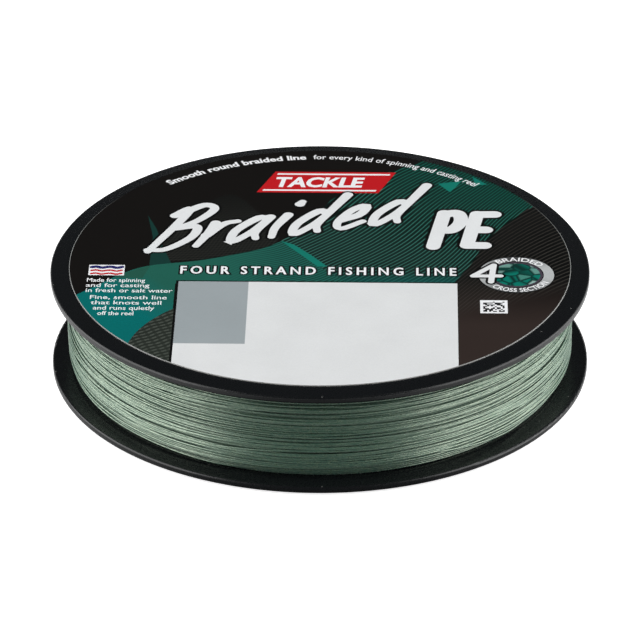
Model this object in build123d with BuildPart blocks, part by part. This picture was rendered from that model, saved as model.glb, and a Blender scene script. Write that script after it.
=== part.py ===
"""Fishing line spool: two push-fitted moulded halves with printed labels and a wound braided line.

Units are millimetres. +Z runs along the spool's axis from the back half to the front half. The
origin is the centre of the ring that the back half rests on.
"""

import os
from math import cos, radians, sin

from build123d import *

# Driving dimensions of the assembled spool
flange_radius = 50.0
overall_height = 20.6
rim_thickness = 1.25
rim_fillet = 0.4
face_radius = 46.8  # edge of each flange's flat face
rim_drop = 0.45  # how far the outer face falls away between the flat face and the rim
film_thickness = 0.15
line_radius = 0.17

# Heights of the flange faces
back_inner_z = rim_drop + rim_thickness
front_face_z = overall_height - film_thickness
front_rim_z = front_face_z - rim_drop
front_inner_z = front_rim_z - rim_thickness

# Labels: a full disc on the front, and a ring in a shallow recess on the back
label_radius = 46.5
recess_radius = 44.3
recess_depth = 0.35
back_label_radius = 44.0
back_label_hole_radius = 7.0

# Drum that carries the line, and the front half's spigot inside it
fit_clearance = 0.03  # radial play of each push fit
seat_gap = 0.05  # axial play between faces that meet when the spool is closed
drum_radius = 42.5
drum_inner_radius = 40.9
drum_top_z = front_inner_z - seat_gap
spigot_radius = drum_inner_radius - fit_clearance
spigot_wall = 1.4
spigot_inner_radius = spigot_radius - spigot_wall
spigot_length = 6.0
spigot_end_z = front_inner_z - spigot_length

# Hub tube on the back half, and the front half's collar around it
bore_radius = 5.5
hub_radius = 7.5
collar_inner_radius = hub_radius + fit_clearance
collar_wall = 1.8
collar_radius = collar_inner_radius + collar_wall
collar_length = 14.0
collar_end_z = front_inner_z - collar_length

# Friction pins on the front half, and their sockets on the back half
pin_count = 6
pin_circle_radius = 25.0
pin_radius = 2.0
pin_length = 13.0
pin_end_z = front_inner_z - pin_length
socket_radius = pin_radius + fit_clearance
socket_wall = 1.6
boss_radius = socket_radius + socket_wall
socket_top_z = 12.0
socket_end_gap = 0.75
socket_floor_z = pin_end_z - socket_end_gap
half_pitch = 180 / pin_count  # degrees from a rib of the back half to the next pin

# Stiffening ribs, which run a little way into the walls that they join
rib_thickness = 1.4
rib_bite = 0.4
back_rib_top_z = 10.7
collar_side_gap = 0.8
collar_end_gap = 0.5
back_rib_start = collar_radius + collar_side_gap
hub_rib_top_z = collar_end_z - collar_end_gap
front_rib_depth = 2.2

edge_chamfer = 0.4
same = 0.01  # two lengths closer than this are taken as equal

# Line slit through the back half's rim, in the direction +Y
slit_half_width = 0.4
slit_mouth_half_width = 1.2
slit_mouth_depth = 1.0
slit_end_radius = 47.6

# Wound line
winding_gap = 0.05
winding_inner_radius = drum_radius + film_thickness
winding_radius = 46.9
shoulder_radius = 45.2  # where the outermost turns meet a flange
shoulder_height = 2.6
shoulder_fillet = 4.0
winding_bottom_z = back_inner_z + winding_gap
winding_top_z = front_inner_z - winding_gap

# Free end of the line, from the winding's lower shoulder down into the slit
tail_start_azimuth = 102.0
tail_start_radius = 45.6
tail_start_height = 0.9
tail_corner_radius = (slit_end_radius + flange_radius - slit_mouth_depth) / 2
tail_corner_z = back_inner_z + 1.5 * line_radius
tail_bend = 0.5
tail_end_z = 0.75

# Tape under the first turns
tape_thickness = 0.1
tape_width = 12.0
tape_arc = 40.0
tape_start_azimuth = 100.0


def spokes(inner_radius, outer_radius, start_azimuth):
    """Draw evenly spaced radial bars of rib thickness in the sketch that is open."""
    middle_radius = (inner_radius + outer_radius) / 2
    with PolarLocations(middle_radius, pin_count, start_angle=start_azimuth):
        Rectangle(outer_radius - inner_radius, rib_thickness)


def ring(outer_radius, inner_radius):
    """Draw a flat ring in the sketch that is open."""
    Circle(outer_radius)
    Circle(inner_radius, mode=Mode.SUBTRACT)


def circles_at(piece, radius, z):
    """All circular edges of a piece with a given radius, at a given height."""
    circles = piece.edges().filter_by(GeomType.CIRCLE)
    return circles.filter_by(
        lambda edge: abs(edge.radius - radius) < same and abs(edge.arc_center.Z - z) < same
    )


# Back half: flange with a label recess, drum, hub tube, pin sockets, ribs and the line slit
with BuildPart() as back_flange:
    with BuildSketch(Plane.XZ):
        with BuildLine():
            Polyline(
                (bore_radius, recess_depth),
                (recess_radius, recess_depth),
                (recess_radius, 0),
                (face_radius, 0),
                (flange_radius, rim_drop),
                (flange_radius, back_inner_z),
                (bore_radius, back_inner_z),
                close=True,
            )
        make_face()
    revolve(axis=Axis.Z)
    fillet(circles_at(back_flange, flange_radius, rim_drop), rim_fillet)
    fillet(circles_at(back_flange, flange_radius, back_inner_z), rim_fillet)

    with BuildSketch(Plane.XY.offset(back_inner_z)):
        ring(drum_radius, drum_inner_radius)
        ring(hub_radius, bore_radius)
    extrude(amount=drum_top_z - back_inner_z)

    with BuildSketch(Plane.XY.offset(back_inner_z)):
        with PolarLocations(pin_circle_radius, pin_count, start_angle=half_pitch):
            Circle(boss_radius)
    extrude(amount=socket_top_z - back_inner_z)
    with BuildSketch(Plane.XY.offset(socket_floor_z)):
        with PolarLocations(pin_circle_radius, pin_count, start_angle=half_pitch):
            Circle(socket_radius)
    extrude(amount=socket_top_z - socket_floor_z, mode=Mode.SUBTRACT)

    with BuildSketch(Plane.XY.offset(back_inner_z)):
        spokes(back_rib_start, drum_inner_radius + rib_bite, 0)
    extrude(amount=back_rib_top_z - back_inner_z)
    with BuildSketch(Plane.XY.offset(back_inner_z)):
        spokes(hub_radius - rib_bite, back_rib_start + rib_bite, 0)
    extrude(amount=hub_rib_top_z - back_inner_z)

    with BuildSketch(Plane.XY.offset(back_inner_z)):
        with BuildLine():
            Polyline(
                (-slit_half_width, slit_end_radius),
                (-slit_half_width, flange_radius - slit_mouth_depth),
                (-slit_mouth_half_width, flange_radius),
                (-slit_mouth_half_width, flange_radius + slit_mouth_depth),
                (slit_mouth_half_width, flange_radius + slit_mouth_depth),
                (slit_mouth_half_width, flange_radius),
                (slit_half_width, flange_radius - slit_mouth_depth),
                (slit_half_width, slit_end_radius),
            )
            ThreePointArc(
                (slit_half_width, slit_end_radius),
                (0, slit_end_radius - slit_half_width),
                (-slit_half_width, slit_end_radius),
            )
        make_face()
    extrude(amount=-back_inner_z, mode=Mode.SUBTRACT)

    chamfer(circles_at(back_flange, drum_inner_radius, drum_top_z), edge_chamfer)
    chamfer(circles_at(back_flange, hub_radius, drum_top_z), edge_chamfer)
    chamfer(circles_at(back_flange, socket_radius, socket_top_z), edge_chamfer)
    chamfer(circles_at(back_flange, bore_radius, recess_depth), edge_chamfer)
back_flange.part.label = "back_flange"

# Front half: flange with a raised flat face, spigot, collar, friction pins and ribs
with BuildPart() as front_flange:
    with BuildSketch(Plane.XZ):
        with BuildLine():
            Polyline(
                (bore_radius, front_inner_z),
                (flange_radius, front_inner_z),
                (flange_radius, front_rim_z),
                (face_radius, front_face_z),
                (bore_radius, front_face_z),
                close=True,
            )
        make_face()
    revolve(axis=Axis.Z)
    fillet(circles_at(front_flange, flange_radius, front_rim_z), rim_fillet)
    fillet(circles_at(front_flange, flange_radius, front_inner_z), rim_fillet)

    with BuildSketch(Plane.XY.offset(front_inner_z)):
        ring(spigot_radius, spigot_inner_radius)
    extrude(amount=-spigot_length)
    with BuildSketch(Plane.XY.offset(front_inner_z)):
        ring(collar_radius, collar_inner_radius)
    extrude(amount=-collar_length)
    with BuildSketch(Plane.XY.offset(front_inner_z)):
        spokes(collar_radius - rib_bite, spigot_inner_radius + rib_bite, half_pitch)
    extrude(amount=-front_rib_depth)
    with BuildSketch(Plane.XY.offset(front_inner_z)):
        with PolarLocations(pin_circle_radius, pin_count, start_angle=half_pitch):
            Circle(pin_radius)
    extrude(amount=-pin_length)

    chamfer(circles_at(front_flange, spigot_radius, spigot_end_z), edge_chamfer)
    chamfer(circles_at(front_flange, collar_inner_radius, collar_end_z), edge_chamfer)
    chamfer(circles_at(front_flange, pin_radius, pin_end_z), edge_chamfer)
front_flange.part.label = "front_flange"

# Printed film on the front
with BuildPart() as front_label:
    with BuildSketch(Plane.XY.offset(front_face_z)):
        Circle(label_radius)
    extrude(amount=film_thickness)
front_label.part.label = "front_label"

# Printed film in the back recess, open at the hub
with BuildPart() as back_label:
    with BuildSketch(Plane.XY.offset(recess_depth)):
        ring(back_label_radius, back_label_hole_radius)
    extrude(amount=-film_thickness)
back_label.part.label = "back_label"

# Wound line: a barrel with rounded shoulders, and the free end led into the slit
tail_start = Vector(
    tail_start_radius * cos(radians(tail_start_azimuth)),
    tail_start_radius * sin(radians(tail_start_azimuth)),
    winding_bottom_z + tail_start_height,
)
tail_corner = Vector(0, tail_corner_radius, tail_corner_z)
tail_end = Vector(tail_corner.X, tail_corner.Y, tail_end_z)
tail_direction = (tail_corner - tail_start).normalized()
with BuildPart() as wound_line:
    with BuildSketch(Plane.XZ) as winding_outline:
        with BuildLine():
            Polyline(
                (winding_inner_radius, winding_bottom_z),
                (shoulder_radius, winding_bottom_z),
                (winding_radius, winding_bottom_z + shoulder_height),
                (winding_radius, winding_top_z - shoulder_height),
                (shoulder_radius, winding_top_z),
                (winding_inner_radius, winding_top_z),
                close=True,
            )
        make_face()
        fillet(winding_outline.vertices().group_by(Axis.X)[-1], shoulder_fillet)
    revolve(axis=Axis.Z)

    with BuildLine() as tail_path:
        bend_start = tail_corner - tail_direction * tail_bend
        Line(tail_start, bend_start)
        Bezier(bend_start, tail_corner, tail_end)
    with BuildSketch(Plane(origin=tail_start, z_dir=tail_direction)):
        Circle(line_radius)
    sweep(path=tail_path.line)
wound_line.part.label = "wound_line"

# Tape that holds the first turn to the drum
with BuildPart() as start_tape:
    with BuildSketch(Plane.XZ.rotated((0, 0, tape_start_azimuth))):
        with Locations((drum_radius + film_thickness / 2, (winding_bottom_z + winding_top_z) / 2)):
            Rectangle(tape_thickness, tape_width)
    revolve(axis=Axis.Z, revolution_arc=tape_arc)
start_tape.part.label = "start_tape"

os.makedirs("parts", exist_ok=True)
for piece in (back_flange, front_flange, front_label, back_label, wound_line, start_tape):
    export_step(piece.part, f"parts/{piece.part.label}.step")
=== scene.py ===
"""Looks of the fishing line spool: moulded plastic, printed labels, wound braid, light and camera.

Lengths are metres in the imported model's frame. Artwork on the labels is drawn in millimetres on a
disc of ART_RADIUS, and is scaled to the label's radius in the frame.
"""

import math
import random

import bpy
import numpy as np
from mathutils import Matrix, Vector
from mathutils.geometry import delaunay_2d_cdt


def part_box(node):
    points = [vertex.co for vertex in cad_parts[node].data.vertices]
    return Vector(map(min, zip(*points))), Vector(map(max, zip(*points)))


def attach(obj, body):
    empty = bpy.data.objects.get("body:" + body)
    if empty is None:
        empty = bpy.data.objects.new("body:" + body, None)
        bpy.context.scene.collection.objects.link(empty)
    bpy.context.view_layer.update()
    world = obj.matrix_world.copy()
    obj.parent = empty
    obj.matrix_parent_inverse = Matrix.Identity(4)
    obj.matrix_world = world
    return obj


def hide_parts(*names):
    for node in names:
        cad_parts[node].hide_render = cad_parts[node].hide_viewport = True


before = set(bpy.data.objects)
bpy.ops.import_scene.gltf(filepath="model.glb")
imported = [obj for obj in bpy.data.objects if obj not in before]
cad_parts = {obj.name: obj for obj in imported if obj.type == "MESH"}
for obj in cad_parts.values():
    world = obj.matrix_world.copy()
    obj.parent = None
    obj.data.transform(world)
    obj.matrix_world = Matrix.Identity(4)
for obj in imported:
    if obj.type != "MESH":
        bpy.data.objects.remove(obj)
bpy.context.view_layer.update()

mm = 0.001

# Places and sizes from the frame
front_label_low, front_label_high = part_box("front_label")
back_label_low, back_label_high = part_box("back_label")
winding_low, winding_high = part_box("wound_line")
front_radius = front_label_high.x
back_radius = back_label_high.x
winding_radius = winding_high.x
rim_drop = 0.45 * mm  # how far each flange's outer face falls to its rim
rim_thickness = 1.25 * mm
flange_top = rim_drop + rim_thickness  # inner face of the back flange
winding_top = front_label_low.z - rim_drop - rim_thickness  # inner face of the front flange

ART_RADIUS = 46.5


# Shaders


def new_material(name):
    """A material with its node tree and its Principled node."""
    material = bpy.data.materials.new(name)
    material.use_nodes = True
    tree = material.node_tree
    return material, tree, tree.nodes["Principled BSDF"]


def add(tree, kind, inputs=None, **settings):
    """A new node with some of its inputs and settings."""
    made = tree.nodes.new(kind)
    for key, value in settings.items():
        setattr(made, key, value)
    set_inputs(tree, made, inputs or {})
    return made


def set_inputs(tree, node, inputs):
    """Link or set inputs of a node: a socket is linked, and any other value is set."""
    for key, value in inputs.items():
        if isinstance(value, bpy.types.NodeSocket):
            tree.links.new(value, node.inputs[key])
        else:
            node.inputs[key].default_value = value


def calc(tree, operation, first, second=0.0):
    """The result of a Math node."""
    return add(tree, "ShaderNodeMath", {0: first, 1: second}, operation=operation).outputs[0]


def times(tree, first, second):
    """The product of two values."""
    return calc(tree, "MULTIPLY", first, second)


def vector_calc(tree, operation, first, second=(0.0, 0.0, 0.0)):
    """The result of a Vector Math node: a value for a dot product or a length, else a vector."""
    made = add(tree, "ShaderNodeVectorMath", {0: first, 1: second}, operation=operation)
    return made.outputs["Value" if operation in ("DOT_PRODUCT", "LENGTH") else "Vector"]


def mix(tree, factor, first, second):
    """Two colours mixed by a factor."""
    made = add(tree, "ShaderNodeMix", {0: factor, 6: first, 7: second}, data_type="RGBA")
    return made.outputs[2]


def place(tree):
    """The position in the model's frame, in metres."""
    return add(tree, "ShaderNodeTexCoord").outputs["Object"]


def noise(tree, size, detail, vector=None):
    """A noise value between about 0 and 1, with cells of a size."""
    inputs = {"Scale": 1 / size, "Detail": detail, "Vector": vector or place(tree)}
    return add(tree, "ShaderNodeTexNoise", inputs).outputs["Fac"]


def spread(tree, value, low, high, new_low=0.0, new_high=1.0):
    """A value mapped from one range to another, held at its ends."""
    inputs = {"Value": value, 1: low, 2: high, 3: new_low, 4: new_high}
    return add(tree, "ShaderNodeMapRange", inputs).outputs[0]


def bump(tree, height, strength, distance):
    """A bump normal from a height."""
    inputs = {"Height": height, "Strength": strength, "Distance": distance}
    return add(tree, "ShaderNodeBump", inputs).outputs["Normal"]


def rgb(red, green, blue):
    """A linear colour with full alpha."""
    return (red, green, blue, 1.0)


def dust(tree, cell, speck, share):
    """1 on small specks, one in each of a share of the cells of a random level lattice."""
    inputs = {"Scale": 1 / cell, "Vector": place(tree)}
    lattice = add(tree, "ShaderNodeTexVoronoi", inputs, voronoi_dimensions="2D")
    close = calc(tree, "LESS_THAN", lattice.outputs["Distance"], speck / cell)
    colour = add(tree, "ShaderNodeSeparateColor", {"Color": lattice.outputs["Color"]})
    chosen = calc(tree, "LESS_THAN", colour.outputs["Red"], share)
    return times(tree, close, chosen)


def black_plastic():
    """Satin-gloss black polystyrene with a faint moulded grain, soft waviness and a little dust."""
    material, tree, surface = new_material("black_plastic")
    grain = noise(tree, 0.35 * mm, 4.0)
    waves = noise(tree, 14 * mm, 2.0)
    specks = dust(tree, 5 * mm, 0.11 * mm, 0.2)
    tone = mix(tree, waves, rgb(0.0035, 0.0042, 0.0050), rgb(0.0050, 0.0058, 0.0066))
    rough = spread(tree, grain, 0.3, 0.7, 0.24, 0.33)
    fine = bump(tree, grain, 0.04, 0.02 * mm)
    waved = {"Height": waves, "Strength": 0.2, "Distance": 0.2 * mm, "Normal": fine}
    set_inputs(tree, surface, {
        "Base Color": mix(tree, specks, tone, rgb(0.16, 0.16, 0.15)),
        "Roughness": calc(tree, "ADD", rough, times(tree, specks, 0.4)),
        "Normal": add(tree, "ShaderNodeBump", waved).outputs["Normal"],
        "Specular IOR Level": 0.42,
    })
    return material


def ink(name, look, roughness=0.32):
    """Printed film. Its look is a colour, or a function that makes one in the tree."""
    material, tree, surface = new_material(name)
    mottle = noise(tree, 0.25 * mm, 2.0)
    cloud = noise(tree, 9 * mm, 2.0)
    base = look(tree) if callable(look) else look
    shade = spread(tree, calc(tree, "ADD", mottle, cloud), 0.6, 1.4, 0.95, 1.05)
    level = add(tree, "ShaderNodeVectorMath", {0: base, 3: shade}, operation="SCALE")
    geometry = add(tree, "ShaderNodeNewGeometry").outputs
    facing = vector_calc(tree, "DOT_PRODUCT", geometry["Normal"], geometry["Incoming"])
    set_inputs(tree, surface, {
        "Base Color": level.outputs[0],
        "Roughness": spread(tree, mottle, 0.3, 0.7, roughness - 0.04, roughness + 0.05),
        "Normal": bump(tree, mottle, 0.06, 0.01 * mm),
        "Specular IOR Level": spread(tree, facing, 0.15, 0.45, 0.0, 0.28),
    })
    return material


def part_of(tree, axis):
    """One coordinate of the place, X, Y or Z."""
    return add(tree, "ShaderNodeSeparateXYZ", {0: place(tree)}).outputs[axis]


def reach_along(tree, angle):
    """How far the place lies along a direction on the label, given in degrees."""
    way = (math.cos(math.radians(angle)), math.sin(math.radians(angle)), 0.0)
    return vector_calc(tree, "DOT_PRODUCT", place(tree), way)


def printed_lines(tree, across, pitch, duty):
    """1 on fine lines with soft edges, one line per pitch of a distance, covering a share of it."""
    softness = 0.08
    phase = calc(tree, "FRACT", calc(tree, "DIVIDE", across, pitch))
    from_middle = calc(tree, "ABSOLUTE", calc(tree, "SUBTRACT", phase, 0.5))
    away = times(tree, from_middle, 2.0)
    return spread(tree, away, duty - softness, duty + softness, 1.0, 0.0)


def bent_across(tree, angle, bend, wave, start):
    """Distance across lines that run at an angle and swing gently to both sides along their length."""
    along = calc(tree, "SUBTRACT", reach_along(tree, angle), start)
    phase = times(tree, along, math.tau / wave)
    swing = times(tree, calc(tree, "SINE", phase), bend)
    return calc(tree, "ADD", reach_along(tree, angle - 90), swing)


def crowding(tree, start, strength):
    """A distance that grows with the square of X beyond a start, to crowd or bend lines."""
    beyond = calc(tree, "MAXIMUM", calc(tree, "SUBTRACT", part_of(tree, "X"), start), 0.0)
    return times(tree, times(tree, beyond, beyond), strength)


BLACK = (0.0052, 0.0042, 0.0036)
TEAL = (0.0002, 0.135, 0.130)
GREY_TEAL = (0.014, 0.107, 0.078)


def fan_lines(tree):
    """Fine teal lines that swing up over near-black and crowd together towards the right."""
    across = bent_across(tree, 52, 0.9 * mm, 40 * mm, 24 * mm)
    crowded = crowding(tree, 16 * mm, 0.0106 / mm)
    lines = printed_lines(tree, calc(tree, "ADD", across, crowded), 0.87 * mm, 0.25)
    far = spread(tree, reach_along(tree, 50), 12 * mm, 44 * mm)
    line_tone = mix(tree, far, rgb(0.056, 0.190, 0.152), rgb(0.014, 0.168, 0.122))
    gap_tone = mix(tree, far, rgb(0.0008, 0.0065, 0.0050), rgb(0.0009, 0.0085, 0.0065))
    low = spread(tree, part_of(tree, "Y"), -3.5 * mm, -7.5 * mm, 0.0, 0.6)
    tone = mix(tree, lines, gap_tone, line_tone)
    return mix(tree, low, tone, rgb(0.002, 0.085, 0.076))


def swoosh_teal(tree):
    """Solid teal that turns greyer to the upper right, where fine dark lines run over it."""
    grey = spread(tree, reach_along(tree, 37), -38 * mm, -28 * mm)
    tone = mix(tree, grey, rgb(*TEAL), rgb(*GREY_TEAL))
    ripple = printed_lines(tree, bent_across(tree, 32, 0.6 * mm, 16 * mm, 0.0), 0.72 * mm, 0.42)
    right = spread(tree, part_of(tree, "X"), -20 * mm, -7 * mm)
    lifted = mix(tree, right, tone, rgb(0.018, 0.128, 0.098))
    return mix(tree, times(tree, ripple, right), lifted, rgb(0.001, 0.018, 0.015))


def dusk_lines(tree):
    """Very faint crossed lines on black."""
    steep = printed_lines(tree, bent_across(tree, 64, 0.5 * mm, 22 * mm, 0.0), 0.66 * mm, 0.4)
    level = printed_lines(tree, reach_along(tree, 96), 0.9 * mm, 0.4)
    both = times(tree, calc(tree, "ADD", steep, level), 0.42)
    fade = spread(tree, part_of(tree, "Y"), 27 * mm, 12 * mm, 0.15, 1.0)
    strength = times(tree, both, fade)
    return mix(tree, strength, rgb(0.0045, 0.0045, 0.0040), rgb(0.028, 0.030, 0.026))


def olive_lines(tree):
    """Broken olive hatching."""
    hatch = printed_lines(tree, bent_across(tree, 33, 0.12 * mm, 5 * mm, 0.0), 1.04 * mm, 0.45)
    broken = printed_lines(tree, reach_along(tree, 21), 1.5 * mm, 0.62)
    dashes = times(tree, hatch, spread(tree, broken, 0.0, 1.0, 0.3, 1.0))
    return mix(tree, dashes, rgb(0.018, 0.023, 0.018), rgb(0.062, 0.072, 0.060))


def brown_zone(tree):
    """Near-black with faint fine lines, warming to plain brown towards the lower right."""
    warm = spread(tree, part_of(tree, "Y"), -6 * mm, -24 * mm)
    across = calc(tree, "ADD", reach_along(tree, 148), crowding(tree, 28 * mm, 0.0115 / mm))
    lines = printed_lines(tree, across, 0.72 * mm, 0.2)
    strength = spread(tree, reach_along(tree, 115), -30 * mm, -26 * mm, 0.0, 0.8)
    tone = mix(tree, warm, rgb(0.0010, 0.0010, 0.0009), rgb(0.030, 0.0205, 0.0175))
    return mix(tree, times(tree, lines, strength), tone, rgb(0.064, 0.061, 0.052))


def bare_edge(tree):
    """The film's unprinted edge, in shade along its far side."""
    far = spread(tree, part_of(tree, "Y"), 8 * mm, 28 * mm)
    return mix(tree, far, rgb(0.30, 0.31, 0.30), rgb(*BLACK))


def brushed_silver(tree):
    """A silver print that is shaded round its centre like turned metal."""
    x = calc(tree, "SUBTRACT", part_of(tree, "X"), BADGE_CENTRE[0] * mm)
    y = calc(tree, "SUBTRACT", part_of(tree, "Y"), BADGE_CENTRE[1] * mm)
    angle = calc(tree, "ARCTAN2", y, x)
    swing = calc(tree, "COSINE", times(tree, angle, 2.0))
    bright = spread(tree, swing, -0.9, 0.8)
    return mix(tree, bright, rgb(0.06, 0.063, 0.063), rgb(0.46, 0.48, 0.48))


def strand_cells(tree):
    """The cut ends of bundled fibres: rounded teal cells, each shaded towards its edge."""
    inputs = {"Scale": 1 / (2.3 * mm), "Vector": place(tree), "Randomness": 0.75}
    cells = add(tree, "ShaderNodeTexVoronoi", inputs)
    edge = add(tree, "ShaderNodeTexVoronoi", inputs, feature="DISTANCE_TO_EDGE")
    inner = spread(tree, edge.outputs["Distance"], 0.02, 0.16)
    pick = add(tree, "ShaderNodeSeparateColor", {"Color": cells.outputs["Color"]}).outputs["Green"]
    pale = spread(tree, pick, 0.6, 0.9)
    tone = mix(tree, pale, rgb(0.002, 0.17, 0.125), rgb(0.26, 0.42, 0.38))
    return mix(tree, inner, rgb(0.002, 0.03, 0.024), tone)


def braid_fibre():
    """Braided fibre: carriers crossing both ways round a strand, with painted shade in the hollows
    between them, waxy sheen and uneven dye.
    """
    material, tree, surface = new_material("braid_fibre")
    uv = add(tree, "ShaderNodeTexCoord").outputs["UV"]
    split = add(tree, "ShaderNodeSeparateXYZ", {0: uv})
    along = times(tree, split.outputs["X"], math.tau / BRAID_PERIOD)
    around = times(tree, split.outputs["Y"], math.tau * BRAID_CARRIERS)
    one = calc(tree, "SINE", calc(tree, "ADD", along, around))
    other = calc(tree, "SINE", calc(tree, "SUBTRACT", along, around))
    weave = spread(tree, calc(tree, "MAXIMUM", one, other), -0.4, 1.0)
    number = {"W": calc(tree, "FLOOR", split.outputs["Y"])}
    strand = add(tree, "ShaderNodeTexWhiteNoise", number, noise_dimensions="1D").outputs["Value"]
    fleck = noise(tree, 1.0, 3.0, vector_calc(tree, "MULTIPLY", uv, (1 / (0.75 * mm), 4.0, 1.0)))
    drift = noise(tree, 5 * mm, 2.0)
    shade = times(tree, calc(tree, "ADD", strand, drift), 0.5)
    pale = spread(tree, shade, 0.2, 0.8)
    fresh = mix(tree, pale, rgb(0.016, 0.068, 0.050), rgb(0.039, 0.106, 0.075))
    # Pale flecks along the strands, at the same places where the gloss is stronger and the surface
    # smoother.
    pale_flecked = mix(tree, spread(tree, fleck, 0.46, 0.66, 0.0, 0.6), fresh, rgb(0.160, 0.228, 0.142))
    # Painted shade: the base colour darkens in the hollows between the crossing carriers.
    shaded = spread(tree, weave, 0.0, 1.0, 0.45, 0.0)
    set_inputs(tree, surface, {
        "Base Color": mix(tree, shaded, pale_flecked, rgb(0.007, 0.033, 0.024)),
        "Roughness": spread(tree, fleck, 0.3, 0.7, 0.37, 0.25),
        "Normal": bump(tree, weave, 0.42, 0.02 * mm),
        "Specular IOR Level": spread(tree, fleck, 0.34, 0.66, 0.58, 0.90),
        "IOR": 2.2,
        "Specular Tint": rgb(0.875, 1.0, 0.81),
        "Sheen Weight": 0.1,
        "Sheen Roughness": 0.4,
    })
    return material


def packed_fibre():
    """The turns below the outermost ones: the same braid in deep shade, with painted light on the crests
    of its rows and painted shade between them.
    """
    material, tree, surface = new_material("packed_fibre")
    level = vector_calc(tree, "MULTIPLY", place(tree), (1.0, 1.0, 0.0))
    reach = vector_calc(tree, "LENGTH", level)
    sway = times(tree, noise(tree, 6 * mm, 2.0), 1.2 * mm)
    outwards = calc(tree, "ADD", calc(tree, "ADD", reach, part_of(tree, "Z")), sway)
    rows = calc(tree, "SINE", times(tree, outwards, math.pi / STRAND_RADIUS))
    grain = noise(tree, 0.3 * mm, 3.0)
    # Painted light on the crests of the rows of turns and painted shade in the hollows between them.
    crest = spread(tree, rows, -1.0, 0.6)
    row_painted_shade = times(tree, calc(tree, "ADD", crest, grain), 0.6)
    set_inputs(tree, surface, {
        "Base Color": mix(tree, row_painted_shade, rgb(0.018, 0.042, 0.030), rgb(0.115, 0.185, 0.130)),
        "Normal": bump(tree, rows, 0.8, 0.15 * mm),
        "Roughness": 0.8,
    })
    return material


def crepe_paper():
    """Creped masking tape."""
    material, tree, surface = new_material("crepe_paper")
    crepe = noise(tree, 0.5 * mm, 4.0)
    set_inputs(tree, surface, {
        "Base Color": mix(tree, crepe, rgb(0.62, 0.52, 0.33), rgb(0.74, 0.66, 0.47)),
        "Normal": bump(tree, crepe, 0.6, 0.05 * mm),
        "Roughness": 0.75,
    })
    return material


# Drawn outlines


def turned(points, angle):
    """Points turned about the origin."""
    c, s = math.cos(angle), math.sin(angle)
    return points @ np.array([[c, s], [-s, c]])


def circle(x, y, radius, count):
    """A closed round outline."""
    angles = np.linspace(0, math.tau, count, endpoint=False)
    return np.column_stack([x + radius * np.cos(angles), y + radius * np.sin(angles)])


def label_edge(radius):
    """A round outline, fine enough for a label's edge."""
    return circle(0, 0, radius, 256)


def rectangle(left, bottom, right, top):
    """A closed outline with four corners."""
    return np.array([(left, bottom), (right, bottom), (right, top), (left, top)], float)


def rounded(left, bottom, right, top, radius, steps=8):
    """A closed outline with rounded corners."""
    corners = [
        (right - radius, top - radius, 0),
        (left + radius, top - radius, 90),
        (left + radius, bottom + radius, 180),
        (right - radius, bottom + radius, 270),
    ]
    points = []
    for x, y, start in corners:
        for angle in np.radians(np.linspace(start, start + 90, steps)):
            points.append((x + radius * math.cos(angle), y + radius * math.sin(angle)))
    return np.array(points)


def unit(vectors):
    """Vectors with their lengths made 1."""
    return vectors / np.linalg.norm(vectors, axis=1)[:, None]


def distance_along(points):
    """Distance of each point from the first, along the line through them."""
    return np.r_[0, np.cumsum(np.linalg.norm(np.diff(points, axis=0), axis=1))]


def smooth(points, steps=10, closed=False):
    """A Catmull-Rom curve through points."""
    points = np.asarray(points, float)
    if closed:
        ring = np.vstack([points[-1:], points, points[:2]])
    else:
        first = 2 * points[0] - points[1]
        last = 2 * points[-1] - points[-2]
        ring = np.vstack([first, points, last])
    parts = []
    for before, start, end, after in zip(ring[:-3], ring[1:-2], ring[2:-1], ring[3:]):
        t = np.linspace(0, 1, steps, endpoint=False)[:, None]
        bend = 2 * before - 5 * start + 4 * end - after
        twist = 3 * start - before - 3 * end + after
        parts.append(0.5 * (2 * start + (end - before) * t + bend * t**2 + twist * t**3))
    if not closed:
        parts.append(points[-1:])
    return np.vstack(parts)


def near_loop(loop, points):
    """Numbers of the points in the box round a loop."""
    return np.flatnonzero(((points >= loop.min(0)) & (points <= loop.max(0))).all(1))


def inside_outlines(loops, points):
    """Which points lie inside closed outlines, by the nonzero winding rule."""
    turns = np.zeros(len(points), int)
    for loop in loops:
        near = near_loop(loop, points)
        a, b = loop, np.roll(loop, -1, 0)
        x, y = points[near, 0][:, None], points[near, 1][:, None]
        side = (b[:, 0] - a[:, 0]) * (y - a[:, 1]) - (x - a[:, 0]) * (b[:, 1] - a[:, 1])
        up = (a[:, 1] <= y) & (b[:, 1] > y) & (side > 0)
        down = (a[:, 1] > y) & (b[:, 1] <= y) & (side < 0)
        turns[near] += up.sum(1) - down.sum(1)
    return turns != 0


class Outline:
    """A filled shape of one ink."""

    def __init__(self, ink_name, loops):
        self.ink = ink_name
        self.loops = [np.asarray(loop, float) for loop in loops]

    def holds(self, points):
        return inside_outlines(self.loops, points)


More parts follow.
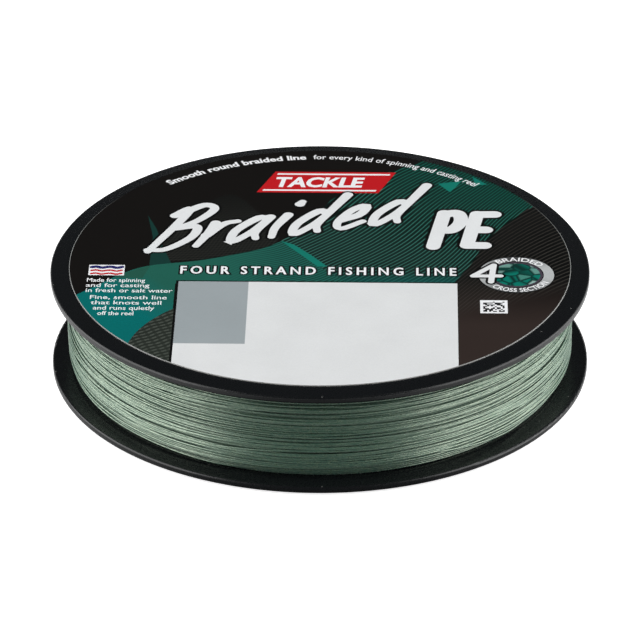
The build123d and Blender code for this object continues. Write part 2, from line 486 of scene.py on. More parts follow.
class Brush:
    """One brush stroke of one ink: a smooth line whose width tapers from start to end."""

    SPACING = 0.16

    def __init__(self, ink_name, points, width, end_width=None, grow=0.0):
        self.ink = ink_name
        line = smooth(points, 12)
        end_width = end_width or width
        along = distance_along(line)
        even = np.linspace(0, along[-1], max(4, int(along[-1] / self.SPACING)))
        self.line = np.column_stack([np.interp(even, along, line[:, k]) for k in (0, 1)])
        self.half = np.interp(even, [0, along[-1]], [width / 2, end_width / 2]) + grow
        self.loops = [self.border()]

    def border(self):
        """Both sides of the stroke, joined round its ends."""
        step = max(1, len(self.line) // 40)
        keep = np.unique(np.r_[np.arange(0, len(self.line), step), len(self.line) - 1])
        line, half = self.line[keep], self.half[keep]
        way = unit(np.gradient(line, axis=0))
        normal = np.column_stack([-way[:, 1], way[:, 0]])
        left = line + normal * half[:, None]
        right = line - normal * half[:, None]
        end_cap = self.cap(line[-1], way[-1], half[-1])
        start_cap = self.cap(line[0], -way[0], half[0])
        return np.vstack([left, end_cap, right[::-1], start_cap])

    @staticmethod
    def cap(centre, way, half):
        """A round end, turning from the left side to the right."""
        start = math.atan2(way[1], way[0]) + math.pi / 2
        angles = start - np.linspace(0, math.pi, 9)[1:-1]
        return centre + half * np.column_stack([np.cos(angles), np.sin(angles)])

    def holds(self, points):
        near = near_loop(self.loops[0], points)
        gap = np.linalg.norm(points[near][:, None, :] - self.line[None], axis=2)
        found = np.zeros(len(points), bool)
        found[near] = (gap <= self.half[None]).any(1)
        return found


def border_edges(faces):
    """Edges that only one face has, sorted, each in that face's direction."""
    directed = {side for face in faces for side in zip(face, face[1:] + face[:1])}
    return sorted((a, b) for a, b in directed if (b, a) not in directed)


def text_outlines(text, spacing, slant):
    """Closed outlines of a line of text at font size 1, starting at x = 0 on the baseline."""
    font = bpy.data.curves.new("lettering", "FONT")
    font.body = text
    font.space_character = spacing
    font.shear = slant
    font.resolution_u = 3
    holder = bpy.data.objects.new("lettering", font)
    mesh = holder.to_mesh()
    follow = dict(border_edges([list(polygon.vertices) for polygon in mesh.polygons]))
    spots = [tuple(vertex.co.xy) for vertex in mesh.vertices]
    loops = []
    while follow:
        first, corner = follow.popitem()
        loop = [first]
        while corner != first and corner in follow:
            loop.append(corner)
            corner = follow.pop(corner)
        loops.append(np.array([spots[index] for index in loop]))
    holder.to_mesh_clear()
    bpy.data.objects.remove(holder)
    bpy.data.curves.remove(font)
    return loops


def grown(loop, distance):
    """A closed outline moved outwards; its inked side lies to the left of its direction."""
    steps = np.roll(loop, -1, 0) - loop
    loop = loop[np.linalg.norm(steps, axis=1) > 1e-6]
    after = unit(np.roll(loop, -1, 0) - loop)
    mean = after + np.roll(after, 1, 0)
    mean /= np.maximum(np.linalg.norm(mean, axis=1), 0.5)[:, None]
    lean = np.maximum((mean * after).sum(1), 0.6)
    return loop + np.column_stack([mean[:, 1], -mean[:, 0]]) * (distance / lean)[:, None]


FONT_CAPITAL = max(loop[:, 1].max() for loop in text_outlines("H", 1.0, 0.0))


def lettering(ink_name, text, left, baseline, capital, width=None, weight=0.0, slant=0.0, spacing=1.0):
    """A line of text with a capital height, stretched or squeezed to a width if one is given."""
    loops = text_outlines(text, spacing, slant)
    reach = max(loop[:, 0].max() for loop in loops)
    tall = capital / FONT_CAPITAL
    wide = width / reach if width else tall
    loops = [loop * (wide, tall) + (left, baseline) for loop in loops]
    if weight:
        loops = [grown(loop, weight) for loop in loops]
    return Outline(ink_name, loops)


def bent(shape, radius, middle_angle, centre=(0, 0)):
    """A line of text laid along an arc, with its middle at an angle in degrees."""
    low = min(loop[:, 0].min() for loop in shape.loops)
    high = max(loop[:, 0].max() for loop in shape.loops)
    loops = []
    for loop in shape.loops:
        angle = math.radians(middle_angle) - (loop[:, 0] - (low + high) / 2) / radius
        reach = radius + loop[:, 1]
        loops.append(np.column_stack([reach * np.cos(angle), reach * np.sin(angle)]) + centre)
    return Outline(shape.ink, loops)


def under_arc(shape, radius, middle_angle, centre):
    """A line of text laid along an arc with its feet outwards, to be read below a centre."""
    turned_over = Outline(shape.ink, [loop * (-1, -1) for loop in shape.loops])
    return bent(turned_over, radius, middle_angle, centre)


# Front label artwork

LABEL_TURN = math.radians(-1.0)  # the film was stuck on with this small turn
EDGE_WIDTH = 0.1
PANEL_LEFT, PANEL_RIGHT, PANEL_TOP = -25.9, 25.4, -7.7
GREY_RIGHT, GREY_BOTTOM = -13.0, -31.4
BADGE_CENTRE = (36.3, -4.05)
STRAP_BASE, STRAP_CAPITAL = -4.6, 2.85
FOOT = PANEL_TOP - 0.9  # the shapes above the data panel run a little way under it

# Script letters in units of the height of a small letter: strokes with their points
SCRIPT_LETTERS = {
    "B": (1.30, [
        [(-0.15, 1.62), (0.10, 1.88), (0.16, 1.30), (0.06, 0.0)],
        [(0.0, 1.70), (0.45, 1.98), (0.86, 1.72), (0.66, 1.22), (0.22, 1.0)],
        [(0.22, 1.0), (0.82, 0.95), (0.96, 0.45), (0.55, 0.02), (0.0, 0.08)],
    ]),
    "r": (0.80, [
        [(0.0, 1.02), (0.06, 0.55), (0.05, 0.0)],
        [(0.06, 0.45), (0.28, 0.92), (0.62, 0.98)],
    ]),
    "a": (1.12, [
        [(0.66, 0.92), (0.36, 1.02), (0.03, 0.52), (0.20, 0.0), (0.52, 0.34), (0.70, 1.0)],
        [(0.70, 1.0), (0.66, 0.35), (0.84, 0.02)],
    ]),
    "i": (0.55, [
        [(0.06, 1.0), (0.02, 0.45), (0.16, 0.0)],
        [(0.12, 1.46), (0.13, 1.58)],
    ]),
    "d": (1.16, [
        [(0.64, 0.86), (0.34, 1.0), (0.03, 0.50), (0.20, 0.0), (0.54, 0.36), (0.72, 1.0)],
        [(0.78, 1.66), (0.70, 0.95), (0.66, 0.35), (0.84, 0.02)],
    ]),
    "e": (1.02, [
        [(0.08, 0.42), (0.52, 0.60), (0.50, 1.0), (0.18, 0.86), (0.06, 0.34), (0.34, 0.0), (0.80, 0.24)],
    ]),
}
SCRIPT_WORD = "Braided"
SCRIPT_SIZE = (7.15, 8.0)  # width and height of one letter unit
SCRIPT_LEAN = 0.84
SCRIPT_RISE = math.radians(15.4)
SCRIPT_START = (-32.6, 3.8)
SCRIPT_PEN, SCRIPT_END_PEN, SCRIPT_BORDER = 2.0, 1.44, 0.5

# Large capitals beside the script, in units of their height
CAPITAL_STROKES = [
    [(0.08, 0.0), (0.08, 0.98)],
    [(0.08, 0.95), (0.26, 0.98), (0.34, 0.74), (0.26, 0.50), (0.08, 0.48)],
    [(0.53, 0.04), (0.53, 0.96)],
    [(0.53, 0.95), (0.77, 0.96)],
    [(0.53, 0.50), (0.72, 0.50)],
    [(0.53, 0.04), (0.77, 0.04)],
]
CAPITAL_PEN, CAPITAL_BORDER = 2.7, 0.6


def script_strokes():
    """Every stroke of the script word, in millimetres on the label."""
    advance = 0.0
    for letter in SCRIPT_WORD:
        width, strokes = SCRIPT_LETTERS[letter]
        for stroke in strokes:
            flat = [(x + advance + SCRIPT_LEAN * y, y) for x, y in stroke]
            yield turned(np.array(flat) * SCRIPT_SIZE, SCRIPT_RISE) + SCRIPT_START
        advance += width


def capital_strokes():
    """Strokes of the two large capitals, in millimetres on the label."""
    left, bottom, height, lean = 19.9, 6.9, 13.8, 0.16
    for stroke in CAPITAL_STROKES:
        yield np.array([((x + lean * y) * height + left, y * height + bottom) for x, y in stroke])


def outlined(strokes, pen, end_pen, border):
    """Soft white strokes with one dark border round all of them."""
    strokes = list(strokes)
    layers = (("border_ink", border), ("soft_white_ink", 0.0))
    return [Brush(name, stroke, pen, end_pen, grow) for name, grow in layers for stroke in strokes]


def swoosh_shapes():
    """The teal sweep, the fan of lines, and the dark and brown zones round them."""
    upper = smooth([
        (-48, -17), (-41.1, -9.8), (-36.4, -4.8), (-31.4, -1.6),
        (-23, 0.4), (-16.8, 2.7), (-11.1, 5.4), (-7.4, 8.5),
    ])
    left = smooth([
        (-7.4, 8.6), (-3.0, 15.5), (-0.5, 20.5), (2.0, 26.0),
        (6.2, 31.0), (11.2, 36.4), (18.3, 41.5), (24, 47),
    ])
    right = smooth([
        (46, 27), (39.5, 22.9), (36.2, 18.5), (32.6, 12.6), (30.0, 6.8), (28.4, 1.1), (24.4, FOOT),
    ])
    teal = np.vstack([
        upper, [(-1.8, 0.3), (6, FOOT), (-26.5, FOOT), (-26.5, -30), (-36, -36), (-48, -30)],
    ])
    fan = np.vstack([left, right, [(6, FOOT), (-1.8, 0.3)]])
    zone = np.vstack([right[::-1], [(52, 20), (52, -30), (30, -48), (20, -48), (20, FOOT)]])
    dusk = smooth([
        (-29.6, 5.5), (-28.2, 0.2), (-16, 3.2), (-8.0, 9.0), (-12, 20), (-18, 27.5), (-26, 17),
    ], closed=True)
    sliver = [(-32.8, 18.6), (-31.5, 10), (-31.6, -1.6), (-27.6, -0.6), (-29.4, 6), (-30.9, 13)]
    moss = [(-38.0, -6.6), (-36.4, -4.8), (-31.4, -1.65), (-32.6, -6.6)]
    facets = [
        [(-7.5, 8.7), (-3.6, 3.1), (-0.4, -1.5), (1.4, -1.5), (-1.6, 2.9), (-5.0, 7.2)],
        [(22.0, 32.8), (26.6, 34.0), (24.3, 29.2)],
        [(28.6, 35.9), (31.4, 32.6), (29.2, 32.2)],
    ]
    areas = [
        ("brown_zone", zone),
        ("dusk_lines", dusk),
        ("sliver_teal", sliver),
        ("swoosh_teal", teal),
        ("fan_lines", fan),
        ("moss_teal", moss),
        *[("facet_teal", facet) for facet in facets],
        ("olive_lines", circle(-9.2, -37.0, 25.4, 96)),
    ]
    return [Outline(ink_name, [loop]) for ink_name, loop in areas]


def data_panel():
    """The blank data panel, which runs off the label, with its grey block and a dark border."""
    bottom = -ART_RADIUS - 2
    border = rectangle(PANEL_LEFT - 0.45, bottom, PANEL_RIGHT + 0.1, PANEL_TOP + 0.35)
    return [
        Outline("border_ink", [border]),
        Outline("panel_white", [rectangle(PANEL_LEFT, bottom, PANEL_RIGHT, PANEL_TOP)]),
        Outline("panel_grey", [rectangle(PANEL_LEFT, GREY_BOTTOM, GREY_RIGHT, PANEL_TOP)]),
    ]


def strapline():
    """Spaced capitals across the middle, with a dark border."""
    words = "FOUR STRAND FISHING LINE"
    width = PANEL_RIGHT - PANEL_LEFT - 0.2
    return [
        lettering(ink_name, words, PANEL_LEFT, STRAP_BASE, STRAP_CAPITAL, width, weight, spacing=1.5)
        for ink_name, weight in (("border_ink", 0.40), ("white_ink", 0.09))
    ]


def arc_line():
    """Two weights of small lettering along the label's far edge."""
    radius, capital = 42.9, 1.75
    lines = [
        ("Smooth round braided line", 28.5, 0.09, 113.6),
        ("for every kind of spinning and casting reel", 33.6, 0.02, 70.2),
    ]
    return [
        bent(lettering("white_ink", words, 0, 0, capital, width, weight), radius, middle_angle)
        for words, width, weight, middle_angle in lines
    ]


def red_badge():
    """A slanted red tab with two white rules and a generic word."""
    left, right, bottom, top = -12.6, 10.6, 28.6, 37.4
    lean = 3.4 / (top - bottom)
    rule_start, rule_end, rule_inset = 0.7, 1.3, 0.8

    def band(low, high, inset):
        """A part of the tab between two heights, as far in from both its ends."""
        corners = rectangle(left + inset, low, right - inset, high)
        corners[:, 0] += lean * (corners[:, 1] - bottom)
        return corners

    return [
        Outline("red_ink", [band(bottom, top, 0.0)]),
        Outline("white_ink", [band(bottom + rule_start, bottom + rule_end, rule_inset)]),
        Outline("white_ink", [band(top - rule_end, top - rule_start, rule_inset)]),
        lettering("white_ink", "TACKLE", left + 3.2, bottom + 2.5, 3.8, 17.2, 0.2, slant=0.2),
    ]


def section_badge():
    """A silver ring with small lettering round a drawing of the line's cut end."""
    x, y = BADGE_CENTRE
    outer, inner, core = 7.0, 5.1, 4.45
    capital, weight, gap = 1.35, 0.04, 0.3
    above = lettering("white_ink", "BRAIDED", 0, 0, capital, 8.4, weight)
    below = lettering("white_ink", "CROSS SECTION", 0, 0, capital, 12.6, weight)
    discs = [
        ("border_ink", outer + 0.25, 72),
        ("silver_ink", outer, 72),
        ("border_ink", inner, 60),
        ("dim_violet", inner - 0.2, 60),
        ("cell_ink", core, 60),
    ]
    shapes = [Outline(name, [circle(x, y, radius, count)]) for name, radius, count in discs]
    shapes.append(bent(above, outer - gap - capital, 82, BADGE_CENTRE))
    shapes.append(under_arc(below, outer - gap, 280, BADGE_CENTRE))
    head, foot, left, right = (32.2, -0.3), (31.6, -7.0), (28.3, -4.7), (33.4, -4.6)
    digit = [[foot, head], [head, left], [left, right]]
    return shapes + outlined(digit, 1.15, 1.15, 0.45)


def square_code():
    """A white tile with a random pattern that encodes nothing."""
    left, bottom, side, cells = 29.5, -19.1, 5.0, 11
    draw = random.Random(7)
    margin = 0.55
    cell = (side - 2 * margin) / cells
    shapes = [Outline("white_ink", [rectangle(left, bottom, left + side, bottom + side)])]
    for row in range(cells):
        for column in range(cells):
            if draw.random() < 0.5:
                x, y = left + margin + column * cell, bottom + margin + row * cell
                shapes.append(Outline("border_ink", [rectangle(x, y, x + cell, y + cell)]))
    return shapes


def water_tile():
    """A small tile of coloured waves."""
    left, bottom, width, height = -42.7, -5.6, 6.6, 4.1
    margin, swell, step = 0.55, 0.22, 2.2
    shapes = [Outline("white_ink", [rectangle(left, bottom, left + width, bottom + height)])]
    across = np.linspace(left + margin, left + width - margin, 7)
    waves = swell * np.sin(step * np.arange(7))
    stripes = ((0.78, "navy_ink", 0.95), (0.46, "red_ink", 0.6), (0.16, "red_ink", 0.6))
    for share, ink_name, pen in stripes:
        line = np.column_stack([across, bottom + height * share + waves])
        shapes.append(Brush(ink_name, line, pen))
    return shapes


def small_lines():
    """Small generic lines of text at the left."""
    rows = [
        ("Made for spinning", -42.9, -8.15, 10.8),
        ("and for casting", -42.9, -10.15, 11.7),
        ("in fresh or salt water", -42.9, -12.15, 16.0),
        ("Fine, smooth line", -42.0, -14.8, 14.2),
        ("that knots well", -41.6, -16.85, 12.9),
        ("and runs quietly", -41.1, -18.9, 11.2),
        ("off the reel", -40.2, -20.95, 6.6),
    ]
    return [lettering("white_ink", text, x, y, 1.4, width, 0.02) for text, x, y, width in rows]


def front_artwork():
    """All shapes of the front label, lowest first."""
    return [
        *swoosh_shapes(),
        *data_panel(),
        *strapline(),
        *arc_line(),
        *red_badge(),
        *outlined(script_strokes(), SCRIPT_PEN, SCRIPT_END_PEN, SCRIPT_BORDER),
        *outlined(capital_strokes(), CAPITAL_PEN, CAPITAL_PEN, CAPITAL_BORDER),
        *section_badge(),
        *square_code(),
        *water_tile(),
        *small_lines(),
        Outline("bare_edge", [label_edge(ART_RADIUS), label_edge(ART_RADIUS - EDGE_WIDTH)[::-1]]),
    ]


# Back label artwork

BACK_HOLE_RADIUS = 7.0
RULE_WIDTH = 0.7


def ring_rule(radius, count):
    """A thin teal ring: a disc with a smaller one of the base ink over it."""
    return [
        Outline("swoosh_plain", [circle(0, 0, radius, count)]),
        Outline("base_ink", [circle(0, 0, radius - RULE_WIDTH, count)]),
    ]


def back_artwork():
    """Shapes of the back label ring, lowest first, seen from below."""
    draw = random.Random(11)
    tile = Outline("white_ink", [rounded(-17, -33, 17, -17, 1.2)])
    shapes = [*ring_rule(41.6, 96), tile, *ring_rule(11.4, 72)]
    bars_left, bars_right, bars_bottom, bars_top = -13.5, 12.5, -28.5, -18.5
    x = bars_left
    while x < bars_right:
        bar = draw.choice((0.3, 0.45, 0.8))
        shapes.append(Outline("border_ink", [rectangle(x, bars_bottom, x + bar, bars_top)]))
        x += bar + draw.choice((0.35, 0.5, 0.9))
    shapes.append(lettering("border_ink", "FILLER SPOOL", -13.4, -31.4, 1.9, 26.6, 0.05))
    title = lettering("white_ink", "BRAIDED FISHING LINE", 0, 0, 3.0, 66, 0.12)
    shapes.append(bent(title, radius=34.5, middle_angle=90))
    notes = [
        ("Wind on under light tension", 22.0),
        ("Wet every knot before drawing it tight", 34.0),
        ("Keep dry and out of sunlight", 28.0),
    ]
    first_row, row_pitch = 24.0, 3.4
    for row, (text, width) in enumerate(notes):
        base = first_row - row_pitch * row
        shapes.append(lettering("white_ink", text, -19.0, base, 1.6, width, 0.03))
    return shapes


# Meshes


def new_object(name, data):
    """A new object in the scene."""
    made = bpy.data.objects.new(name, data)
    bpy.context.scene.collection.objects.link(made)
    return made


def mesh_piece(name, spots, faces):
    """A new object from corner points and faces."""
    mesh = bpy.data.meshes.new(name)
    mesh.from_pydata(spots, [], faces)
    return new_object(name, mesh)


def printed_film(name, shapes, inks, rims, scale, low_z, high_z, face_up, angle):
    """A thin film whose printed face is cut along every outline, one material per ink.

    The rims are the film's outline and, the other way round, that of its hole.
    """
    chains = rims + [turned(loop, angle) for shape in shapes for loop in shape.loops]
    edges = []
    for chain in chains:
        index = len(edges) + np.arange(len(chain))
        edges += zip(index.tolist(), np.roll(index, -1).tolist())
    flat = [Vector(corner) for corner in np.vstack(chains).tolist()]
    spots, _, faces, *_ = delaunay_2d_cdt(flat, edges, [], 0, 1e-5)
    spots = np.array([tuple(spot) for spot in spots])
    faces = np.array([face for face in faces if len(face) == 3])
    middles = spots[faces].mean(1)
    kept = inside_outlines(rims, middles)
    faces, middles = faces[kept], middles[kept]
    level = np.zeros(len(faces), int)
    flat_middles = turned(middles, -angle)
    names = list(inks)
    for shape in shapes:
        level[shape.holds(flat_middles)] = names.index(shape.ink)
    used, faces = np.unique(faces, return_inverse=True)
    faces = faces.reshape(-1, 3)
    spots = spots[used] * scale
    print_z, glue_z = (high_z, low_z) if face_up else (low_z, high_z)
    top = np.column_stack([spots, np.full(len(spots), print_z)])
    bottom = np.column_stack([spots, np.full(len(spots), glue_z)])
    count = len(spots)
    if not face_up:
        faces = faces[:, ::-1]
    walls = [(b, a, a + count, b + count) for a, b in border_edges(faces.tolist())]
    under = faces[:, ::-1] + count
    polygons = faces.tolist() + walls + under.tolist()
    piece = mesh_piece(name, np.vstack([top, bottom]).tolist(), polygons)
    for material in inks.values():
        piece.data.materials.append(material)
    core = names.index("film_core")
    indices = np.r_[level, np.full(len(walls) + len(under), core)]
    piece.data.polygons.foreach_set("material_index", indices.astype(np.int32))
    return piece


def label_inks():
    """Every ink, by name. The first one fills what no shape covers."""
    looks = {
        "base_ink": BLACK,
        "border_ink": (0.0022, 0.0020, 0.0020),
        "white_ink": (0.85, 0.86, 0.875),
        "soft_white_ink": (0.755, 0.772, 0.778),
        "panel_white": (0.719, 0.732, 0.735),
        "panel_grey": (0.322, 0.361, 0.377),
        "red_ink": (0.50, 0.010, 0.014),
        "navy_ink": (0.02, 0.02, 0.12),
        "dim_violet": (0.060, 0.048, 0.066),
        "swoosh_plain": TEAL,
        "sliver_teal": (0.006, 0.036, 0.030),
        "facet_teal": (0.006, 0.178, 0.134),
        "moss_teal": (0.016, 0.088, 0.062),
        "bare_edge": bare_edge,
        "silver_ink": brushed_silver,
        "cell_ink": strand_cells,
        "swoosh_teal": swoosh_teal,
        "fan_lines": fan_lines,
        "dusk_lines": dusk_lines,
        "olive_lines": olive_lines,
        "brown_zone": brown_zone,
    }
    inks = {name: ink(name, look) for name, look in looks.items()}
    inks["film_core"] = ink("film_core", (0.42, 0.42, 0.41), roughness=0.5)
    return inks


# Wound braid

STRAND_RADIUS = 0.185 * mm
FLATNESS = 0.75  # a wound braid is pressed a little flat
TURN_STEPS = 240
BRAID_PERIOD = 1.0 * mm
BRAID_CARRIERS = 2
WAVE_COUNTS = range(1, 13)  # waves per turn that make up a strand's wandering
FLANGE_GAP = 0.03 * mm
BODY_DEPTH = 0.5 * mm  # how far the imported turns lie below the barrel's surface
BODY_INNER = 42.65 * mm  # just outside the drum and its tape


def barrel_radius(height):
    """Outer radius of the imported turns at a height: a cylinder whose shoulders fall to the flanges."""
    shoulder, fall, fullness = 3.4 * mm, 1.6 * mm, 2.4
    edge = min(height - flange_top, winding_top - height)
    if edge >= shoulder:
        return winding_radius
    share = 1 - max(edge, 0.0) / shoulder
    return winding_radius - fall * (1 - math.sqrt(max(0.0, 1 - share**fullness)))


def tube(name, paths, radius=STRAND_RADIUS, sides=6, rings=False):
    """One mesh of strands along paths, with capped ends or closed into rings.

    U is the distance along a strand in metres, and V is its number and the share of a turn round it.
    """
    spots, faces, uvs = [], [], []
    for number, path in enumerate(paths):
        path = np.asarray(path)
        along = distance_along(path)
        if rings:
            path = path[:-1]
            way = unit(np.roll(path, -1, 0) - np.roll(path, 1, 0))
        else:
            way = unit(np.gradient(path, axis=0))
        outward = path * (1, 1, 0)
        outward = unit(outward - (outward * way).sum(1)[:, None] * way)
        across = np.cross(way, outward)
        start = sum(len(block) for block in spots)
        ring = [
            path + radius * (FLATNESS * math.cos(angle) * outward + math.sin(angle) * across)
            for angle in np.linspace(0, math.tau, sides, endpoint=False)
        ]
        spots.append(np.stack(ring, 1).reshape(-1, 3))
        for i in range(len(along) - 1):
            low, high = start + i * sides, start + (i + 1) % len(path) * sides
            for j in range(sides):
                k = (j + 1) % sides
                faces.append((low + j, low + k, high + k, high + j))
                u0, u1 = along[i], along[i + 1]
                v0, v1 = number + j / sides, number + (j + 1) / sides
                uvs += [(u0, v0), (u0, v1), (u1, v1), (u1, v0)]
        if not rings:
            last = start + (len(path) - 1) * sides
            faces.append(tuple(start + j for j in reversed(range(sides))))
            faces.append(tuple(last + j for j in range(sides)))
            uvs += [(along[0], number)] * sides + [(along[-1], number)] * sides
    piece = mesh_piece(name, np.vstack(spots).tolist(), faces)
    layer = piece.data.uv_layers.new(name="strand")
    layer.data.foreach_set("uv", np.array(uvs, np.float32).ravel())
    piece.data.shade_smooth()
    return piece


def wander(draw, size):
    """A smooth random function of an angle, the same again after a full turn."""
    waves = [
        (count, draw.gauss(0, size / math.sqrt(count)), draw.uniform(0, math.tau))
        for count in WAVE_COUNTS
    ]
    return lambda angle: sum(swing * math.sin(count * angle + phase) for count, swing, phase in waves)


def between_flanges(height):
    """A height kept far enough from both flanges for a strand to clear them."""
    margin = STRAND_RADIUS + FLANGE_GAP
    return min(max(height, flange_top + margin), winding_top - margin)


def strand_path(start_angle, sweep, height_at, depth_at):
    """Points of a strand round the winding; height and depth are functions of angle and share."""
    steps = max(8, int(TURN_STEPS * sweep / math.tau))
    path = []
    for step in range(steps + 1):
        share = step / steps
        angle = start_angle + sweep * share
        z = between_flanges(height_at(angle, share))
        reach = barrel_radius(z) - depth_at(angle, share)
        path.append((reach * math.cos(angle), reach * math.sin(angle), z))
    return path


def packed_turns():
    """Paths of the outer full layer: near-level turns whose spacing, height and depth wander."""
    draw = random.Random(3)
    paths = []
    height = flange_top + STRAND_RADIUS
    while height < winding_top - STRAND_RADIUS:
        lift, sway = wander(draw, 0.075 * mm), wander(draw, 0.03 * mm)
        sink = 1.5 * STRAND_RADIUS + draw.uniform(0.0, 0.26) * mm
        paths.append(strand_path(
            draw.uniform(0, math.tau), math.tau,
            lambda angle, share: height + lift(angle),
            lambda angle, share: sink + sway(angle),
        ))
        height += 2 * STRAND_RADIUS + draw.choice((-0.06, -0.02, 0.02, 0.06, 0.12, 0.22)) * mm
    return paths


def crossing_turns(seed, count, sweeps, drifts):
    """Paths of the last turns, which drift across the layer below and dive in at their ends."""
    draw = random.Random(seed)
    margin = 0.6 * mm
    dive, dive_sweep = 2.6 * STRAND_RADIUS, 0.16
    paths = []
    for _ in range(count):
        sweep = draw.uniform(*sweeps)
        low = draw.uniform(flange_top + margin, winding_top - margin)
        drift = draw.choice((-1, 1)) * draw.uniform(*drifts)
        lift, sway = wander(draw, 0.06 * mm), wander(draw, 0.05 * mm)

        def height_at(angle, share):
            return low + drift * (share * share * (3 - 2 * share)) + lift(angle)

        def depth_at(angle, share):
            near_start = max(0.0, 1 - share * sweep / dive_sweep)
            near_end = max(0.0, 1 - (1 - share) * sweep / dive_sweep)
            return max(0.6 * STRAND_RADIUS + sway(angle), 0.0) + dive * (near_start + near_end)

        paths.append(strand_path(draw.uniform(0, math.tau), sweep, height_at, depth_at))
    return paths


def free_end():
    """Path of the free end: off the lower shoulder, over the flange and down into the rim's slit."""
    slit = Vector((0, winding_high.y - STRAND_RADIUS, flange_top + 1.5 * STRAND_RADIUS))
    azimuth, reach, lift = math.radians(102), 45.6 * mm, 0.95 * mm
    start = Vector((reach * math.cos(azimuth), reach * math.sin(azimuth), flange_top + lift))
    bend = 0.5 * mm
    turn = slit - (slit - start).normalized() * bend
    end = Vector((slit.x, slit.y, winding_low.z))
    path = [start.lerp(turn, share) for share in np.linspace(0, 1, 30, endpoint=False)]
    for t in np.linspace(0, 1, 13):
        path.append(turn * (1 - t) ** 2 + slit * 2 * t * (1 - t) + end * t**2)
    return [tuple(point) for point in path]


def winding_body():
    """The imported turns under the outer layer, as one lathed ring."""
    gap, levels, around = 0.05 * mm, 60, 256
    rows = np.linspace(flange_top + gap, winding_top - gap, levels)
    outside = [(barrel_radius(z) - BODY_DEPTH, z) for z in rows]
    profile = [(BODY_INNER, rows[0])] + outside + [(BODY_INNER, rows[-1])]
    count = len(profile)
    spots, faces = [], []
    for step in range(around):
        angle = math.tau * step / around
        spots += [(r * math.cos(angle), r * math.sin(angle), z) for r, z in profile]
        here, there = step * count, (step + 1) % around * count
        for k in range(count):
            j = (k + 1) % count
            faces.append((here + k, there + k, there + j, here + j))
    piece = mesh_piece("winding_body", spots, faces)
    piece.data.shade_smooth()
    return piece


# The object

plastic = black_plastic()
carried_over = (("back_flange", plastic), ("front_flange", plastic), ("start_tape", crepe_paper()))
for name, material in carried_over:
    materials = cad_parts[name].data.materials
    materials.clear()
    materials.append(material)

inks = label_inks()
front_print = printed_film(
    "front_label_print", front_artwork(), inks, [label_edge(ART_RADIUS)], front_radius / ART_RADIUS,
    front_label_low.z, front_label_high.z, face_up=True, angle=LABEL_TURN,
)
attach(front_print, "front_half")
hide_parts("front_label")

back_rims = [label_edge(back_radius / mm), circle(0, 0, BACK_HOLE_RADIUS, 96)[::-1]]
mirrored = [Outline(shape.ink, [loop * (-1, 1) for loop in shape.loops]) for shape in back_artwork()]
back_print = printed_film(
    "back_label_print", mirrored, inks, back_rims, mm,
    back_label_low.z, back_label_high.z, face_up=False, angle=0.0,
)
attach(back_print, "back_half")
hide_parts("back_label")

body = winding_body()
body.data.materials.append(packed_fibre())
turns = tube("wound_turns", packed_turns(), rings=True)
long_paths = crossing_turns(seed=5, count=60, sweeps=(1.5, 5.6), drifts=(0.2 * mm, 1.6 * mm))
steep_paths = crossing_turns(seed=9, count=20, sweeps=(0.9, 2.6), drifts=(1.2 * mm, 4.0 * mm))
last_turns = tube("crossing_turns", long_paths + steep_paths)
end = tube("free_end", [free_end()], radius=0.97 * STRAND_RADIUS, sides=10)
fibre = braid_fibre()
for piece in (turns, last_turns, end):
    piece.data.materials.append(fibre)
for piece in (body, turns, last_turns, end):
    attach(piece, "back_half")
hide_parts("wound_line")


# Floor, light and camera


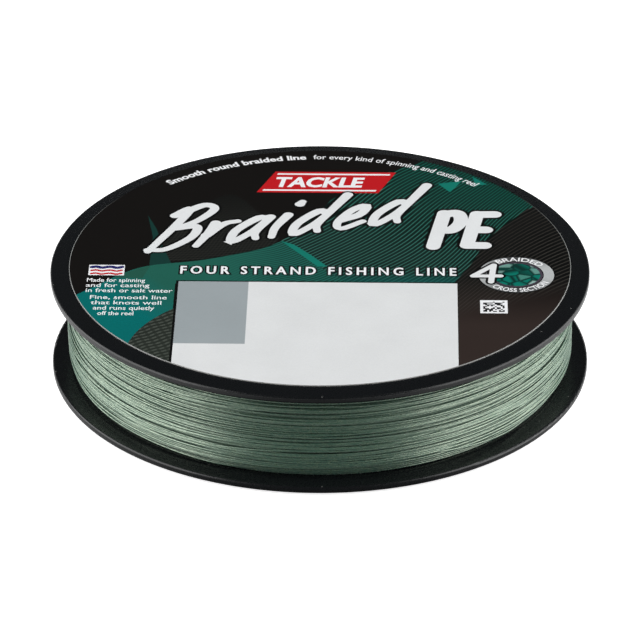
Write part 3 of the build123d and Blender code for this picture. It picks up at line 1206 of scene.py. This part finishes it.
def pale_floor():
    """A near-white floor, clear from below. Seen in a gloss it glows with painted light: a painted
    shadow leaves it dimmest in front of the object, and painted side light makes it brighter to both
    sides.
    """
    material, tree, surface = new_material("pale_floor")
    set_inputs(tree, surface, {
        "Base Color": rgb(0.86, 0.86, 0.86),
        "Roughness": 0.9,
        "Emission Color": rgb(1, 1, 1),
        "Emission Strength": 0.75,
    })
    away = vector_calc(tree, "LENGTH", place(tree))
    # Painted reflection for glossy rays: a painted shadow dims the glow near the object's front, and
    # painted light brightens it towards both sides.
    front = spread(tree, away, 65 * mm, 105 * mm, 0.08, 0.45)
    painted_floor_light = spread(tree, calc(tree, "ABSOLUTE", part_of(tree, "X")), 20 * mm, 80 * mm, front, 1.3)
    glow = add(tree, "ShaderNodeEmission", {"Color": rgb(1, 1, 1), "Strength": painted_floor_light})
    seen = add(tree, "ShaderNodeLightPath").outputs["Is Camera Ray"]
    above = add(tree, "ShaderNodeMixShader", {0: seen, 1: glow.outputs[0], 2: surface.outputs[0]})
    below = add(tree, "ShaderNodeNewGeometry").outputs["Backfacing"]
    clear = add(tree, "ShaderNodeBsdfTransparent")
    blend = add(tree, "ShaderNodeMixShader", {0: below, 1: above.outputs[0], 2: clear.outputs[0]})
    tree.links.new(blend.outputs[0], tree.nodes["Material Output"].inputs["Surface"])
    half, level = 3.0, -0.01 * mm
    corners = [(x, y, level) for x, y in rectangle(-half, -half, half, half)]
    floor = mesh_piece("floor", corners, [(0, 1, 2, 3)])
    floor.data.materials.append(material)
    floor.visible_diffuse = False
    floor.visible_shadow = False


def softbox(name, spot, target, width, height, power):
    """A rectangular area light aimed at a point."""
    lamp = bpy.data.lights.new(name, "AREA")
    lamp.shape = "RECTANGLE"
    lamp.size, lamp.size_y = width, height
    lamp.energy = power
    holder = new_object(name, lamp)
    holder.location = spot
    holder.rotation_euler = (Vector(target) - Vector(spot)).to_track_quat("-Z", "Y").to_euler()


def light_studio():
    """A dim surround and a very tall softbox at each side, which reaches below the floor."""
    world = bpy.data.worlds.new("studio")
    world.use_nodes = True
    tree = world.node_tree
    backdrop = tree.nodes["Background"]
    seen = add(tree, "ShaderNodeLightPath").outputs["Is Camera Ray"]
    set_inputs(tree, backdrop, {
        "Color": mix(tree, seen, rgb(0.9, 0.95, 1.0), rgb(1.0, 1.0, 1.0)),
        "Strength": spread(tree, seen, 0.0, 1.0, 0.04, 0.95),
    })
    bpy.context.scene.world = world
    reach, forward, rise = 0.8, -0.08, 0.425
    for name, side in (("left_softbox", -1), ("right_softbox", 1)):
        spot, target = (side * reach, forward, rise), (0, forward, rise)
        softbox(name, spot, target, width=1.36, height=1.75, power=25.0)


def photo_camera():
    """The long-lens camera; its distance is measured from the centre of the lower rim."""
    elevation = math.radians(28.98)
    tilt = math.radians(0.452)
    distance = 0.8996
    height = distance * math.sin(elevation) + rim_drop
    data = bpy.data.cameras.new("camera")
    data.sensor_width = 36.0
    data.lens = 269.93
    data.clip_start, data.clip_end = 0.05, 20.0
    camera = new_object("camera", data)
    camera.location = (0, -distance * math.cos(elevation), height)
    camera.rotation_euler = (math.pi / 2 - elevation + tilt, 0, 0)
    bpy.context.scene.camera = camera


pale_floor()
light_studio()
photo_camera()
bpy.context.scene.view_settings.view_transform = "Standard"
